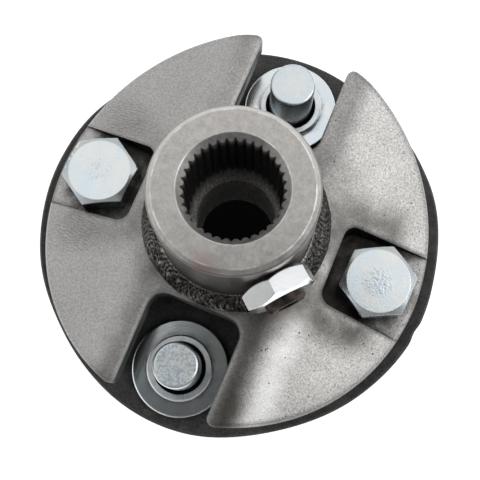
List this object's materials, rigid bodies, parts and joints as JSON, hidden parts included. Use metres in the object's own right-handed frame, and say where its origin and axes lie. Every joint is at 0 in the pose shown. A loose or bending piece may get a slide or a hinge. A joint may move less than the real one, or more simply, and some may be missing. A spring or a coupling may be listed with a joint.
{
  "type": "steering rag joint",
  "caption": "Flexible steering coupling: a splined hub welded to a notched plate, bolted to a round rubber disc with stop studs whose threaded ends hang below.",
  "frame": {"origin": "on the splined bore's axis, level with the top face of the rubber disc, where the plate's feet sit", "axes": "+Z along the bore towards its mouth, +X through the bolts, +Y through the studs towards the taller stop"},
  "size_m": [0.0888, 0.0888, 0.0698],
  "materials": {
    "rubber": "grained black rubber on fabric",
    "plate_steel": "bare pressed steel, tumbled",
    "hub_steel": "turned steel",
    "weld_metal": "dark scaled weld bead",
    "zinc_steel": "bright zinc plate",
    "black_steel": "black oxide"
  },
  "bodies": {
    "root": {"rubber_disc": "rubber", "coupling_flange": "plate_steel", "splined_hub": "hub_steel", "hub_weld": "weld_metal", "set_screw": "black_steel", "jam_nut": "zinc_steel", "flange_bolt_right": "zinc_steel", "backing_washer_right": "zinc_steel", "lock_washer_right": "zinc_steel", "flange_nut_right": "zinc_steel", "flange_bolt_left": "zinc_steel", "backing_washer_left": "zinc_steel", "lock_washer_left": "zinc_steel", "flange_nut_left": "zinc_steel", "stop_stud_rear": "zinc_steel", "stud_washer_rear": "zinc_steel", "stud_sleeve_rear": "zinc_steel", "stop_stud_front": "zinc_steel", "stud_washer_front": "zinc_steel", "stud_sleeve_front": "zinc_steel"}
  },
  "joints": []
}
